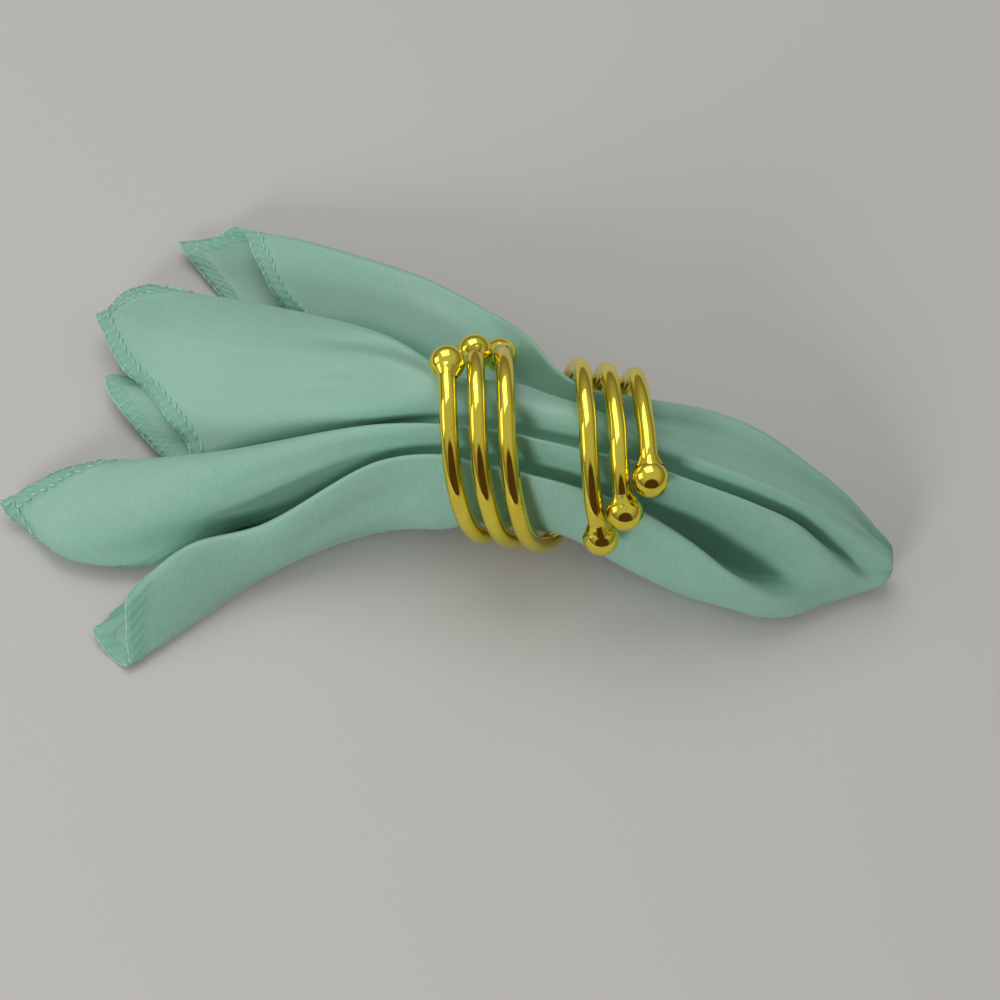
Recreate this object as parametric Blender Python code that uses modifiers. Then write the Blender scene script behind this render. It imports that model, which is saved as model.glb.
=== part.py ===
"""A square satin napkin, pinched at its middle and drawn through a wrapped wire ring.

Run with: blender --background --python part.py

The ring's axis is the X axis. The pinched middle of the cloth points to +X, the four
corners spread towards -X, and everything rests on the plane Z = 0.
All tables are in millimetres, measured from the point on the floor under the ring's middle.
"""
import math

import bmesh
import bpy
from mathutils import Vector

MM = 0.001

# --- ring: three equal wires wound side by side, a ball on each end -------------------
COIL_RADIUS = 20.5       # from the ring's axis to the middle of the wire
WIRE_RADIUS = 2.0
BALL_RADIUS = 4.0
COIL_ADVANCE = 30.5      # travel along the axis in one full turn
WIRE_SPACING = 6.43      # from one wire to the next, along the axis
WIRE_SWEEP = 464.0       # degrees that each wire is wound
WIRE_LAG = 23.2          # each wire starts this many degrees before its neighbour
COIL_MIDDLE_ANGLE = 188.8
TOP_DIPS = (0.3, 2.0, 2.8)   # how far each wire is pressed in where it crosses the top again
DIP_ANGLE, DIP_REACH = 350.0, 62.0
WIRE_STEP = 8.0          # degrees between two points of a wire
WIRE_COUNT = 3
RING_HEIGHT = COIL_RADIUS + WIRE_RADIUS

# --- cloth ----------------------------------------------------------------------------
CLOTH_THICKNESS = 1.0
FLOOR_LAYER = CLOTH_THICKNESS / 2   # height of the middle of a layer that lies on the floor
AROUND_STEPS = 2         # faces between two neighbouring fold lines
LENGTH_STEPS = 2         # faces between two neighbouring stations

# The folds that run the whole length, in order round the bundle. Lobes c, b, a and d are
# the four corners of the cloth, from the back to the front.
FOLDS = ("back_foot", "back_wall", "c_ridge", "cb_valley", "b_shoulder", "b_crest", "ba_valley",
         "a_ridge", "ad_valley", "d_ridge", "front", "front_foot", "under")

TIP = (79.0, -6.5, 6.5)

# One row for each cross-section, from the tip to where the lobes spread: its x, then (y, z)
# of every fold in the order of FOLDS.
SECTIONS = (
    (78, (-4.3, 3.6), (-3.0, 6.6), (-2.9, 10.8), (-4.4, 10.2), (-5.2, 11.6), (-6.2, 11.4), (-7.1, 7.2),
     (-8.3, 6.4), (-8.6, 5.7), (-8.9, 5.1), (-8.9, 4.5), (-8.1, 3.4), (-6.1, 3.7)),
    (74, (-3.0, 1.4), (-0.8, 6.5), (-0.6, 13.5), (-3.2, 12.4), (-4.4, 14.8), (-6.2, 14.4), (-7.6, 7.4),
     (-9.6, 6.2), (-10.2, 5.0), (-10.6, 4.0), (-10.7, 3.0), (-9.3, 1.2), (-6.0, 1.6)),
    (66, (3.0, 0.5), (6.0, 9.0), (4.1, 18.3), (0.8, 17.9), (-2.4, 19.8), (-5.2, 20.9), (-7.2, 11.5),
     (-10.2, 14.2), (-12.8, 8.6), (-14.6, 5.8), (-15.4, 3.4), (-12.6, 0.5), (-5.0, 3.2)),
    (56, (7.0, 0.5), (10.8, 10.5), (8.3, 22.4), (3.8, 22.0), (-1.0, 24.6), (-4.8, 26.5), (-6.4, 18.0),
     (-9.4, 24.6), (-14.2, 9.0), (-20.0, 10.6), (-21.0, 4.6), (-17.0, 0.5), (-4.0, 4.6)),
    (46, (10.5, 0.5), (14.2, 12.0), (12.3, 25.6), (6.4, 25.0), (0.2, 28.0), (-4.2, 30.4), (-6.0, 23.0),
     (-8.9, 29.4), (-13.6, 6.0), (-21.2, 17.2), (-22.2, 6.0), (-17.5, 0.5), (-2.0, 5.4)),
    (34, (12.5, 0.5), (16.0, 14.0), (13.9, 28.2), (7.6, 27.2), (1.2, 30.8), (-3.0, 33.1), (-5.4, 27.5),
     (-8.0, 32.6), (-11.2, 11.5), (-17.9, 24.0), (-21.2, 8.6), (-16.5, 0.5), (-1.0, 6.6)),
    (21, (11.5, 5.0), (14.5, 16.5), (12.6, 31.0), (7.2, 29.2), (2.4, 34.0), (-1.8, 35.6), (-4.6, 31.0),
     (-7.0, 35.4), (-10.4, 22.0), (-13.6, 27.4), (-18.0, 9.5), (-13.5, 3.0), (0.0, 9.0)),
    (6, (8.8, 7.8), (15.2, 19.0), (11.8, 33.0), (7.8, 28.0), (4.6, 36.8), (-0.6, 37.4), (-3.8, 32.8),
     (-6.8, 37.0), (-9.8, 26.5), (-13.4, 32.2), (-15.0, 13.6), (-8.4, 7.9), (0.0, 11.5)),
    (-2, (10.1, 8.1), (16.1, 19.6), (17.0, 31.4), (9.2, 25.0), (6.6, 36.2), (-0.2, 37.8), (-3.4, 32.8),
     (-6.2, 37.2), (-9.4, 27.5), (-13.0, 33.0), (-15.3, 15.0), (-8.9, 7.9), (0.0, 11.0)),
    (-8, (10.7, 9.7), (21.4, 20.2), (23.4, 30.5), (13.0, 23.0), (8.2, 35.8), (1.0, 38.0), (-3.0, 32.6),
     (-5.6, 37.2), (-9.0, 28.0), (-12.6, 33.2), (-15.5, 15.9), (-9.2, 8.3), (0.0, 10.5)),
    (-14, (13.2, 8.8), (25.5, 18.6), (28.6, 29.0), (13.8, 21.8), (8.8, 35.0), (1.8, 37.2), (-2.7, 32.0),
     (-5.4, 36.6), (-8.5, 27.5), (-12.0, 32.9), (-15.7, 15.2), (-9.6, 7.8), (0.0, 9.2)),
    (-22, (17.0, 7.5), (29.0, 17.0), (33.6, 27.0), (14.5, 20.5), (9.0, 34.2), (2.4, 36.2), (-2.4, 31.4),
     (-5.2, 35.8), (-8.0, 27.0), (-11.2, 32.6), (-17.3, 13.6), (-12.0, 4.8), (0.0, 8.0)),
)

# One row for each line of a lobe: its place among FOLDS, then where it runs past the ring,
# halfway out and at the hem, each (x, y, z). The sharp ones are the cloth's four corners.
LOBE_LINES = (
    ("c_under", 0.0, (-40, 23, 4.5), (-66, 36, 1.6), (-92, 43, 1.2)),
    ("c_under_edge", 0.5, (-42, 32, 8.5), (-74, 46, 3.2), (-100, 50, 2.0)),
    ("c_corner", 1.0, (-42, 38, 13), (-78, 53, 6), (-108.5, 57.5, 3.2)),
    ("c_loop", 1.5, (-42, 43, 17.5), (-78, 57.5, 9.5), (-99.5, 59, 5.5)),
    ("c_ridge", 2.0, (-40, 44, 22), (-70, 54.5, 14.5), (-92, 61, 8.5)),
    ("c_flank", 2.4, (-38, 34, 22), (-62, 44, 14.5), (-85.5, 52.5, 9)),
    ("c_low_flank", 2.75, (-37, 26, 19), (-56, 34, 12), (-76.5, 41, 8)),
    ("cb_valley", 3.0, (-34, 19.5, 14), (-48, 25, 8.5), (-64, 31, 5)),
    ("b_back", 3.5, (-38, 17.5, 25), (-60, 25, 14.5), (-86, 31, 5)),
    ("b_ridge", 4.0, (-40, 18, 32.3), (-72, 29.5, 21), (-103, 37.5, 10.5)),
    ("b_top_hem", 4.2, (-40, 15.5, 33.5), (-76, 25, 22), (-113, 36.5, 9)),
    ("b_corner", 4.45, (-40, 12, 34.2), (-77, 18.5, 22), (-120.5, 29, 7.5)),
    ("b_panel", 4.8, (-40, 6.5, 34.2), (-73, 12, 21), (-109.5, 15.5, 8)),
    ("b_front", 5.15, (-39, 1.5, 33.4), (-68, 4, 19.5), (-97, 6, 7.8)),
    ("b_edge", 5.4, (-38, -2, 31), (-62, -3, 17.5), (-85, -6.5, 7)),
    ("b_turn", 5.55, (-38, -1.5, 28), (-60, -2, 13.5), (-92, -6, 3.6)),
    ("b_under_tip", 5.7, (-38, 2, 26), (-68, 5.5, 13), (-114, 14, 4)),
    ("b_under", 5.85, (-38, 2, 23), (-58, 6, 10), (-82, 8, 3.5)),
    ("ba_valley", 6.0, (-34, -3, 22), (-46, -4.5, 11), (-62, -8, 4)),
    ("a_back", 6.5, (-36, -4.6, 27), (-60, -8.5, 16), (-86, -12, 5.5)),
    ("a_ridge", 7.0, (-38, -5.2, 31.6), (-73, -11.8, 21), (-108, -15.4, 10.5)),
    ("a_corner", 7.3, (-38, -8, 31), (-76, -17.5, 20.5), (-127, -25.5, 4.5)),
    ("a_belly", 7.55, (-37, -9.6, 28.5), (-76, -26, 14), (-118, -29.5, 1.2)),
    ("a_turn", 7.75, (-36, -8.4, 24.5), (-70, -22, 7), (-96, -26, 0.8)),
    ("ad_valley", 8.0, (-34, -8.5, 20), (-47, -11.5, 9), (-64, -17.5, 4)),
    ("d_back", 8.5, (-36, -11.6, 25), (-58, -21.4, 8.5), (-77, -33, 4)),
    ("d_ridge", 9.0, (-36, -13.6, 29.5), (-62, -26.4, 14.5), (-86.5, -45, 10.5)),
    ("d_face", 9.5, (-37, -17.4, 19), (-61, -31.8, 9), (-86, -54, 6)),
    ("d_front", 10.0, (-38, -18.4, 6.5), (-59, -30, 2), (-84.5, -59.5, 1.6)),
    ("d_under", 10.5, (-36, -12, 0.7), (-60, -24, 0.5), (-90.5, -57, 1)),
    ("d_corner", 11.0, (-36, -5, 0.6), (-62, -18, 0.5), (-95.5, -52.5, 2.4)),
    ("d_under_edge", 11.5, (-36, 2, 0.6), (-58, -6, 0.5), (-84, -37, 0.5)),
    ("under", 12.0, (-36, 8, 2.0), (-48, 8, 0.5), (-62, 6, 0.5)),
    ("under_back", 12.5, (-38, 15, 2.5), (-60, 22, 0.5), (-80, 28, 0.5)),
)
CORNERS = ("c_corner", "b_corner", "a_corner", "d_corner")

# Where a line bends once more on its way to the hem, because the cloth turns under or bulges.
LAST_BENDS = {
    "a_belly": (-111, -35, 4.6),
    "a_turn": (-88, -35.5, 4.0),
    "d_ridge": (-77, -34.8, 14.8),
}
OUTER_SHARE = 0.6        # of the way from halfway out to the hem, on every other line


def make_material(name, colour, roughness, metallic=0.0):
    material = bpy.data.materials.new(name)
    material.use_nodes = True
    shader = material.node_tree.nodes["Principled BSDF"]
    shader.inputs["Base Color"].default_value = (*colour, 1.0)
    shader.inputs["Roughness"].default_value = roughness
    shader.inputs["Metallic"].default_value = metallic
    return material


def link(mesh_or_curve, name, material, collection, parent):
    thing = bpy.data.objects.new(name, mesh_or_curve)
    mesh_or_curve.materials.append(material)
    collection.objects.link(thing)
    thing.parent = parent
    return thing


# --- curves through points ------------------------------------------------------------
def hermite(start, end, leave, arrive, t):
    """Point at t (0 to 1) between start and end, with the given end tangents."""
    t2, t3 = t * t, t * t * t
    return (start * (2 * t3 - 3 * t2 + 1) + leave * (t3 - 2 * t2 + t)
            + end * (3 * t2 - 2 * t3) + arrive * (t3 - t2))


def tangent(before, here, after, span):
    """Tangent at here for a piece of the given span, spaced by the root of the distance."""
    near = max((here - before).length, 1e-6) ** 0.5
    far = max((after - here).length, 1e-6) ** 0.5
    slope = ((here - before) / near * far + (after - here) / far * near) / (near + far)
    return slope * span


def curve_point(points, index, t, closed, sharp=()):
    """Point at t on the piece from points[index] to the next one. At a sharp point the two
    pieces meet at an angle."""
    count = len(points)
    start, end = points[index], points[(index + 1) % count]
    span = max((end - start).length, 1e-6) ** 0.5
    leave = arrive = end - start
    if (closed or index > 0) and index not in sharp:
        leave = tangent(points[index - 1], start, end, span)
    if (closed or index + 2 < count) and (index + 1) % count not in sharp:
        arrive = tangent(start, end, points[(index + 2) % count], span)
    return hermite(start, end, leave, arrive, t)


def section_point(section, place):
    """Point of a cross-section at a place among FOLDS, such as 4.5 between two of them."""
    x, folds = section[0], section[1:]
    ring = [Vector((x, y, z)) for y, z in folds]
    index = int(place)
    return curve_point(ring, index, place - index, closed=True)


def fold_line(line):
    """A line's points, from the tip through every section to its hem."""
    name, place, throat, middle, hem = line
    points = [Vector(TIP)]
    points += [section_point(section, place) for section in SECTIONS]
    points += [Vector(throat), Vector(middle), Vector(hem)]
    outer = curve_point(points, len(points) - 2, OUTER_SHARE, closed=False)
    points.insert(-1, Vector(LAST_BENDS.get(name, outer)))
    return points


def along(points, steps):
    """The line's points with steps pieces between each two, without the tip."""
    fine = []
    for index in range(len(points) - 1):
        for step in range(steps):
            fine.append(curve_point(points, index, (step + 1) / steps, closed=False))
    return fine


def cloth_mesh():
    """Open sheet: rows run round the bundle, from the tip to the hem."""
    lines = [along(fold_line(line), LENGTH_STEPS) for line in LOBE_LINES]
    corner_index = [i for i, line in enumerate(LOBE_LINES) if line[0] in CORNERS]
    row_count = len(lines[0])
    model = bmesh.new()
    tip = model.verts.new(Vector(TIP) * MM)
    previous = None
    for row in range(row_count):
        ring = [line[row] for line in lines]
        sharp = corner_index if row == row_count - 1 else ()
        verts = []
        for index in range(len(ring)):
            for step in range(AROUND_STEPS):
                point = curve_point(ring, index, step / AROUND_STEPS, True, sharp)
                point.z = max(point.z, FLOOR_LAYER)
                verts.append(model.verts.new(point * MM))
        pairs = zip(range(len(verts)), [*range(1, len(verts)), 0])
        for a, b in pairs:
            if previous is None:
                model.faces.new((tip, verts[b], verts[a]))
            else:
                model.faces.new((previous[a], previous[b], verts[b], verts[a]))
        previous = verts
    bmesh.ops.recalc_face_normals(model, faces=model.faces)
    mesh = bpy.data.meshes.new("napkin")
    model.to_mesh(mesh)
    model.free()
    return mesh


def add_napkin(collection, parent):
    satin = make_material("mint satin", (0.27, 0.48, 0.38), 0.45)
    napkin = link(cloth_mesh(), "napkin", satin, collection, parent)
    napkin.data.shade_smooth()
    sheet = napkin.modifiers.new("thickness", "SOLIDIFY")
    sheet.thickness = CLOTH_THICKNESS * MM
    sheet.offset = 0.0
    return napkin


# --- ring -----------------------------------------------------------------------------
def coil_point(wire, angle):
    """Middle of a wire at an angle: 0 is the top, 90 the front, 180 the bottom."""
    x = COIL_ADVANCE * (angle - COIL_MIDDLE_ANGLE) / 360 + WIRE_SPACING * (wire - 1)
    share = min(abs(angle - DIP_ANGLE) / DIP_REACH, 1.0)
    radius = COIL_RADIUS - TOP_DIPS[wire] * math.cos(share * math.pi / 2) ** 2
    turn = math.radians(angle)
    return Vector((x, -radius * math.sin(turn), RING_HEIGHT + radius * math.cos(turn)))


def wire_angles(wire):
    start = COIL_MIDDLE_ANGLE - WIRE_SWEEP / 2 - WIRE_LAG * (wire - 1)
    return start, start + WIRE_SWEEP


def add_wire(wire, gold, collection, parent):
    start, end = wire_angles(wire)
    # the wire stops just short of the balls on its two ends
    inset = math.degrees((BALL_RADIUS + 0.3) / COIL_RADIUS)
    count = round((WIRE_SWEEP - 2 * inset) / WIRE_STEP) + 1
    curve = bpy.data.curves.new("wire", "CURVE")
    curve.dimensions = "3D"
    curve.bevel_depth = WIRE_RADIUS * MM
    curve.bevel_resolution = 2
    curve.use_fill_caps = True
    spline = curve.splines.new("POLY")
    spline.points.add(count - 1)
    for i, point in enumerate(spline.points):
        angle = start + inset + (WIRE_SWEEP - 2 * inset) * i / (count - 1)
        point.co = (*(coil_point(wire, angle) * MM), 1.0)
    return link(curve, f"wire_{wire + 1}", gold, collection, parent)


def add_ball(wire, end, gold, collection, parent):
    model = bmesh.new()
    bmesh.ops.create_uvsphere(model, u_segments=16, v_segments=10, radius=BALL_RADIUS * MM)
    mesh = bpy.data.meshes.new("ball")
    model.to_mesh(mesh)
    model.free()
    mesh.shade_smooth()
    ball = link(mesh, f"ball_{wire + 1}_{end}", gold, collection, parent)
    angle = wire_angles(wire)[0 if end == "left" else 1]
    ball.location = coil_point(wire, angle) * MM
    return ball


def stand_on_origin(base, collection):
    """Move everything so that the whole box stands centred on the origin."""
    finished = bpy.context.evaluated_depsgraph_get()
    points = []
    for thing in collection.objects:
        if thing.type != "EMPTY":
            shape = thing.evaluated_get(finished)
            points += [thing.matrix_world @ vert.co for vert in shape.to_mesh().vertices]
            shape.to_mesh_clear()
    low = [min(point[axis] for point in points) for axis in range(3)]
    high = [max(point[axis] for point in points) for axis in range(3)]
    base.location = (-(low[0] + high[0]) / 2, -(low[1] + high[1]) / 2, -low[2])


def main():
    for thing in list(bpy.data.objects):
        bpy.data.objects.remove(thing, do_unlink=True)
    collection = bpy.data.collections.new("napkin_in_ring")
    bpy.context.scene.collection.children.link(collection)
    base = bpy.data.objects.new("base", None)
    collection.objects.link(base)
    add_napkin(collection, base)
    gold = make_material("polished gold", (0.80, 0.58, 0.12), 0.15, metallic=1.0)
    for wire in range(WIRE_COUNT):
        add_wire(wire, gold, collection, base)
        for end in ("left", "right"):
            add_ball(wire, end, gold, collection, base)
    bpy.context.view_layer.update()
    stand_on_origin(base, collection)


main()
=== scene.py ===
# %% [markdown]
# # A satin napkin drawn through a wrapped wire ring
# The real thing is one square of thin mint satin, overlocked all round, pinched at its middle and
# pulled through a ring of three gold wires. The ring grips it like a bouquet: the pinched middle
# sticks out on one side as a rounded tail, and the four corners fan out on the other.
#
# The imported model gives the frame: where the ring and the cloth are. Here every piece is made
# again at full detail, in the same place. Lengths in the tables are in millimetres.

# %% load the frame
import math

import bmesh
import bpy
from mathutils import Matrix, Quaternion, Vector
from mathutils.bvhtree import BVHTree


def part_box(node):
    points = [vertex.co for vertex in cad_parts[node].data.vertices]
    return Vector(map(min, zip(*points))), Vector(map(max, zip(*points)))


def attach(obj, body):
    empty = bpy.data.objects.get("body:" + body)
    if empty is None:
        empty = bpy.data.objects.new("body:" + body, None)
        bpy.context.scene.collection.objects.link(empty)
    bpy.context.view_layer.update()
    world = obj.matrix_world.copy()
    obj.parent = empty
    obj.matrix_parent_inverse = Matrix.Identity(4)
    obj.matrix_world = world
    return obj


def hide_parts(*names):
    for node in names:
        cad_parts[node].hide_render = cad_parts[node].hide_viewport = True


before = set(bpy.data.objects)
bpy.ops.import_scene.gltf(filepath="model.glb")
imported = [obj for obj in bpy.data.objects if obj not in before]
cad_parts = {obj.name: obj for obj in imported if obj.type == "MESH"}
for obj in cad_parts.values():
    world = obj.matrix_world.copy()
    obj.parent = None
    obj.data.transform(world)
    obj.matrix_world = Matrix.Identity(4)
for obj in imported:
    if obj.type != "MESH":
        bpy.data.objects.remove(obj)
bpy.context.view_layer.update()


def add_object(name, data):
    """A new object in the scene, for a mesh, a light, a curve or the camera."""
    made = bpy.data.objects.new(name, data)
    bpy.context.collection.objects.link(made)
    return made


# %% [markdown]
# ## Where the tables' numbers are measured from
# The cloth's and the ring's tables are measured from the point on the floor under the ring's
# middle. The frame's own origin is the middle of the whole object. One ball of the ring is
# enough to find the step from one to the other, because the winding gives its place exactly.

# %% the ring's winding
MM = 0.001
TINY = 1e-6               # mm, keeps a division away from zero
COIL_RADIUS = 20.5        # from the ring's axis to the middle of the wire
WIRE_RADIUS = 2.0
BALL_RADIUS = 4.0
COIL_ADVANCE = 30.5       # travel along the axis in one full turn
WIRE_SPACING = 6.43
WIRE_SWEEP = 464.0        # degrees that each wire is wound
WIRE_LAG = 23.2           # each wire starts this many degrees before its neighbour
COIL_MIDDLE_ANGLE = 188.8
TOP_DIPS = (0.3, 2.0, 2.8)   # how far each wire is pressed in where it crosses the top again
DIP_ANGLE, DIP_REACH = 350.0, 62.0
WIRE_COUNT = 3
RING_HEIGHT = COIL_RADIUS + WIRE_RADIUS


def coil_point(wire, angle):
    """Middle of a wire at an angle: 0 is the top, 90 the front, 180 the bottom."""
    x = COIL_ADVANCE * (angle - COIL_MIDDLE_ANGLE) / 360 + WIRE_SPACING * (wire - 1)
    share = min(abs(angle - DIP_ANGLE) / DIP_REACH, 1.0)
    radius = COIL_RADIUS - TOP_DIPS[wire] * math.cos(share * math.pi / 2) ** 2
    turn = math.radians(angle)
    return Vector((x, -radius * math.sin(turn), RING_HEIGHT + radius * math.cos(turn)))


def wire_angles(wire):
    """Angles at which a wire begins and ends."""
    start = COIL_MIDDLE_ANGLE - WIRE_SWEEP / 2 - WIRE_LAG * (wire - 1)
    return start, start + WIRE_SWEEP


ball_low, ball_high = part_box("ball_1_left")
SHIFT = (ball_low + ball_high) / 2 - coil_point(0, wire_angles(0)[0]) * MM
print("tables to frame, mm:", [round(1000 * step, 2) for step in SHIFT])


def placed(point):
    """A table's point in the frame, in metres."""
    return Vector(point) * MM + SHIFT


# %% [markdown]
# ## The camera
# The object is looked down on from its front, a little from the right, and the camera is tipped
# sideways by a few degrees. It stands close, so near corners spread more than far ones.

# %% camera
AIM = Vector((0.0117, -0.0016, 0.0))
AZIMUTH = math.radians(15.0)
ELEVATION = math.radians(59.0)
ROLL = math.radians(-3.8)
DISTANCE = 0.424
BACK = Vector((math.sin(AZIMUTH) * math.cos(ELEVATION), -math.cos(AZIMUTH) * math.cos(ELEVATION),
               math.sin(ELEVATION)))

camera = add_object("camera", bpy.data.cameras.new("camera"))
camera.location = AIM + BACK * DISTANCE
camera.rotation_mode = "QUATERNION"
camera.rotation_quaternion = (-BACK).to_track_quat("-Z", "Y") @ Quaternion((0, 0, 1), ROLL)
camera.data.sensor_width = 36.0
camera.data.lens = 64.8
camera.data.clip_start = 0.01
bpy.context.scene.camera = camera
print("camera at, mm:", [round(1000 * value) for value in camera.location])

# %% [markdown]
# ## Shader maths as sums
# A material is a graph of nodes. Written with a small class that wraps one output socket, the
# graph reads as ordinary sums: `1 - band * 0.5` adds its own Math nodes.


# %% the helper for materials
class Signal:
    """One output socket in a material's node tree."""

    def __init__(self, tree, socket=None):
        self.tree = tree
        self.socket = socket

    def node(self, kind, settings=None, inputs=None, output=0):
        """A new node: its settings are set first, then its sockets get values or links."""
        made = self.tree.nodes.new(kind)
        for name, value in (settings or {}).items():
            setattr(made, name, value)
        for key, value in (inputs or {}).items():
            if isinstance(value, Signal):
                self.tree.links.new(value.socket, made.inputs[key])
            else:
                made.inputs[key].default_value = value
        return Signal(self.tree, made.outputs[output])

    def math(self, operation, *values):
        """A Math node on the values."""
        return self.node("ShaderNodeMath", {"operation": operation}, dict(enumerate(values)))

    def __add__(self, other):
        return self.math("ADD", self, other)

    def __sub__(self, other):
        return self.math("SUBTRACT", self, other)

    def __rsub__(self, other):
        return self.math("SUBTRACT", other, self)

    def __mul__(self, other):
        return self.math("MULTIPLY", self, other)

    def __truediv__(self, other):
        return self.math("DIVIDE", self, other)

    __radd__ = __add__
    __rmul__ = __mul__

    def wave(self):
        """A smooth wave from 0 to 1, one for each whole step of this signal."""
        return self.math("SINE", self * math.tau) * 0.5 + 0.5

    def between(self, low, high):
        """0 below low, 1 above high, smooth between."""
        return self.node("ShaderNodeMapRange", {"interpolation_type": "SMOOTHSTEP"},
                         {"Value": self, "From Min": low, "From Max": high})

    def part(self, axis):
        """One of this vector's three values, such as "Z"."""
        return self.node("ShaderNodeSeparateXYZ", inputs={"Vector": self}, output=axis)

    def mix(self, low, high):
        """Colour low where this signal is 0 and colour high where it is 1."""
        return self.node("ShaderNodeMix", {"data_type": "RGBA"},
                         {"Factor": self, 6: low, 7: high}, output=2)

    def noise(self, scale, detail=2.0, roughness=0.5):
        """Soft noise from 0 to 1, so many steps in each unit of this vector."""
        return self.node("ShaderNodeTexNoise", inputs={"Vector": self, "Scale": scale, "Detail": detail,
                                                       "Roughness": roughness})

    def stretched(self, scale):
        """This vector scaled by a different amount along each axis."""
        return self.node("ShaderNodeMapping", inputs={"Vector": self, "Scale": scale})


def new_material(name):
    """A material with its Principled shader, and a Signal to start its graph from."""
    material = bpy.data.materials.new(name)
    material.use_nodes = True
    tree = material.node_tree
    return material, tree.nodes["Principled BSDF"], Signal(tree)


def connect(shader, **signals):
    """Link signals to the shader's sockets, such as Base_Color."""
    for name, signal in signals.items():
        shader.id_data.links.new(signal.socket, shader.inputs[name.replace("_", " ")])


# %% [markdown]
# ## Floor and light
# A plain pale floor and soft studio light: one broad panel high behind the object, weaker ones
# on the left and in front, and a dim surround. Polished metal shows whatever stands in front of
# it, so the surround is darkest on the camera's side, as a room is, and the panel in front lights
# the cloth but is left out of mirror reflections.

# %% floor
FLOOR_HALF = 1.5          # half the floor's side, m

model = bmesh.new()
bmesh.ops.create_grid(model, x_segments=1, y_segments=1, size=FLOOR_HALF)
mesh = bpy.data.meshes.new("floor")
model.to_mesh(mesh)
model.free()
floor = add_object("floor", mesh)
material, shader, _ = new_material("plain floor")
shader.inputs["Roughness"].default_value = 0.6
shader.inputs["Base Color"].default_value = (0.60, 0.59, 0.57, 1)
mesh.materials.append(material)
print("floor, mm:", [round(1000 * side) for side in floor.dimensions])


# %% lights
def add_panel(name, place, size, power, mirrored=True):
    """A square soft light that faces the object, with its size in metres and power in watts."""
    light = bpy.data.lights.new(name, "AREA")
    light.size = size
    light.energy = power
    panel = add_object(name, light)
    panel.visible_glossy = mirrored
    panel.location = place
    panel.rotation_euler = (-Vector(place)).to_track_quat("-Z", "Y").to_euler()
    print(name, "at, m:", place)


add_panel("panel_behind", (-0.30, 0.60, 1.05), 0.9, 4.2)
add_panel("panel_left", (-1.0, -0.15, 0.55), 0.6, 1.2)
add_panel("panel_front", (-0.25, -0.95, 0.45), 0.35, 4.6, mirrored=False)

# %% surround
DARK_ELEVATION = math.radians(18.0)   # of the darkest direction, straight under the camera
FRONT = Vector((math.sin(AZIMUTH), -math.cos(AZIMUTH), math.tan(DARK_ELEVATION))).normalized()
world = bpy.data.worlds.new("room")
world.use_nodes = True
bpy.context.scene.world = world
direction = Signal(world.node_tree, world.node_tree.nodes.new("ShaderNodeTexCoord").outputs["Generated"])
facing = direction.node("ShaderNodeVectorMath", {"operation": "DOT_PRODUCT"},
                        {0: direction, 1: FRONT}, output="Value")
walls = direction.part("Z").between(0.05, 0.80).mix((0.36, 0.35, 0.32, 1), (0.92, 0.91, 0.87, 1))
surround = facing.between(0.70, 0.80).mix(walls, (0.13, 0.07, 0.05, 1))
background = world.node_tree.nodes["Background"]
world.node_tree.links.new(surround.socket, background.inputs["Color"])
background.inputs["Strength"].default_value = 0.50
bpy.context.scene.view_settings.view_transform = "Standard"
print("surround is darkest towards", [round(value, 2) for value in FRONT])

# %% [markdown]
# ## The cloth's folds
# A cloth that is pinched and drawn through a ring is best described by the lines that run along
# it, from the pinched tip, through the ring, to the hem. Thirteen folds give the cross-sections
# of the bundle. Past the ring the four corners open out, and more lines are needed between the
# folds: each has a place among the folds, such as 4.45, and its own points out to the hem. The
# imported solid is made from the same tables, so the fine cloth lies on it.

# %% the folds
FOLDS = ("back_foot", "back_wall", "c_ridge", "cb_valley", "b_shoulder", "b_crest", "ba_valley",
         "a_ridge", "ad_valley", "d_ridge", "front", "front_foot", "under")
TIP = (79.0, -6.5, 6.5)

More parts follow.
